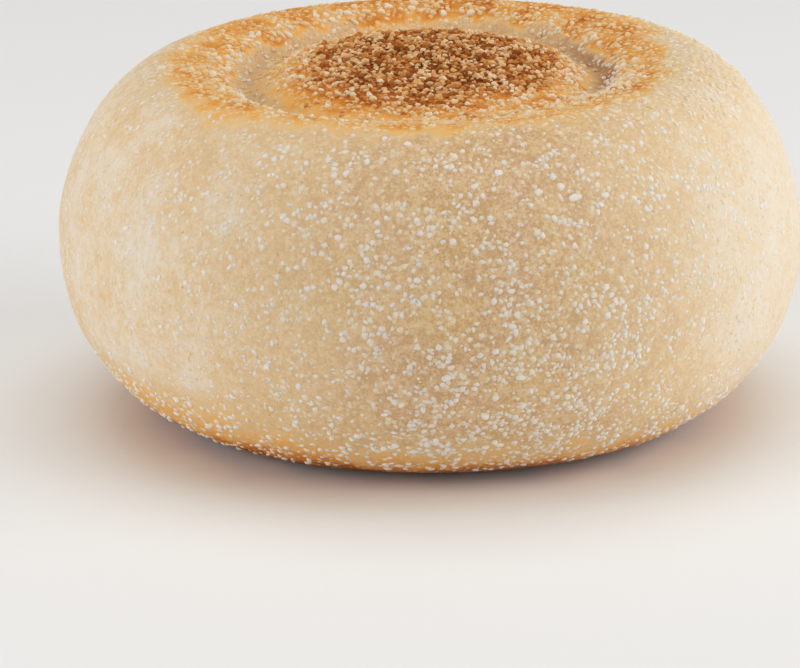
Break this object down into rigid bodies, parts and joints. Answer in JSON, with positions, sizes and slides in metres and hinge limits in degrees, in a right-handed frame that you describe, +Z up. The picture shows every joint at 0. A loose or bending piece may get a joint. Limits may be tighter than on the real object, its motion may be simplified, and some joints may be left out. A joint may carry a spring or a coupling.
{
  "type": "english muffin",
  "caption": "Thick round griddle bread with a full barrel side, a browned rim, a sunken ring and a dark domed middle, dusted with coarse semolina.",
  "frame": {"origin": "on the surface that the muffin stands on, under the middle of its box, at the centre of the flat foot", "axes": "+Z up through the domed middle of the top, -Y towards the side that faces the viewer, +X to that viewer's right"},
  "size_m": [0.0904, 0.0896, 0.0432],
  "materials": {
    "crust": "matt baked dough, browned on both flat faces",
    "semolina": "dry, slightly translucent grits"
  },
  "bodies": {
    "root": {"english_muffin": "crust"}
  },
  "joints": []
}
